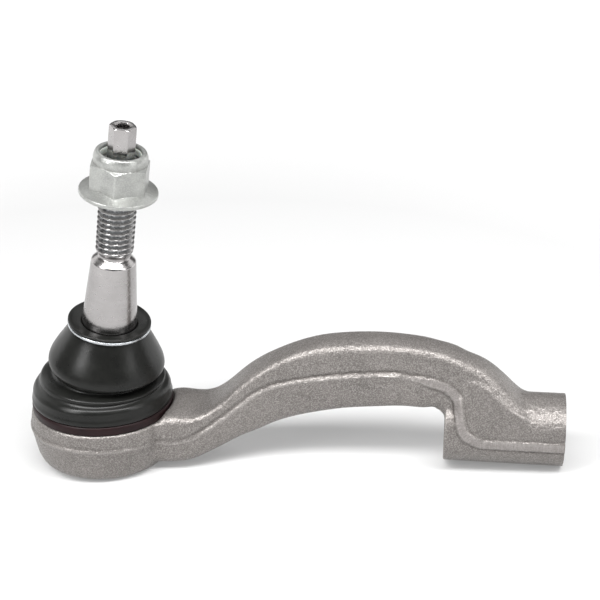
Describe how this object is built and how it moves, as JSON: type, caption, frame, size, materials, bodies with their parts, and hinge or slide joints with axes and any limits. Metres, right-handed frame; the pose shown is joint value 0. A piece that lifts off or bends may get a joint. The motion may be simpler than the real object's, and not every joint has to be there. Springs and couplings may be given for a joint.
{
  "type": "tie rod end",
  "caption": "Outer steering tie rod end: forged gooseneck arm with a threaded boss, a booted ball stud and a flange lock nut.",
  "frame": {"origin": "centre of the ball", "axes": "+Z along the axis of the housing bore, out of the boot side; +X from the ball towards the threaded boss, along the boss's axis"},
  "size_m": [0.1756, 0.0484, 0.1179],
  "materials": {
    "forging": "satin",
    "stud_steel": "satin",
    "plated_nut": "satin",
    "insert_polymer": "matte",
    "race_polymer": "matte",
    "spring_steel": "satin",
    "cap_steel": "satin",
    "boot_rubber": "satin",
    "seal_rubber": "matte",
    "band_black": "satin",
    "ring_steel": "gloss"
  },
  "bodies": {
    "housing": {"forged_housing": "forging", "upper_ball_race": "race_polymer", "lower_ball_race": "race_polymer", "preload_spring": "spring_steel", "end_cap": "cap_steel", "cap_seal_ring": "seal_rubber", "boot_lower_ring": "band_black"},
    "boot_folds": {"dust_boot": "boot_rubber"},
    "boot_collar": {"boot_upper_ring": "ring_steel"},
    "stud": {"ball_stud": "stud_steel"},
    "nut_carriage": {"nut_locking_insert": "insert_polymer"},
    "nut": {"flange_nut": "plated_nut"}
  },
  "joints": [
    {"name": "swing_direction", "type": "hinge", "parent": "housing", "child": "boot_folds", "pos_m": [0, 0, 0], "axis": [0, 0, 1], "continuous": true},
    {"name": "stud_tilt", "type": "hinge", "parent": "boot_folds", "child": "boot_collar", "pos_m": [0, 0, 0], "axis": [0.5621, 0.8271, 0], "range_deg": [-34.2, 15.8], "deforming": ["dust_boot"]},
    {"name": "stud_spin", "type": "hinge", "parent": "boot_collar", "child": "stud", "pos_m": [0, 0, 0], "axis": [0.1322, -0.0899, 0.9871], "continuous": true},
    {"name": "nut_travel", "type": "slide", "parent": "stud", "child": "nut_carriage", "axis": [0.1322, -0.0899, 0.9871], "range_m": [-0.01925, 0.0035]},
    {"name": "nut_turn", "type": "hinge", "parent": "nut_carriage", "child": "nut", "pos_m": [0.01054, -0.00716, 0.07867], "axis": [0.1322, -0.0899, 0.9871], "range_deg": [-3964, 724]}
  ],
  "couplings": [
    {"joint": "nut_turn", "follows": "nut_travel", "rad_per_m": 3590.4}
  ]
}
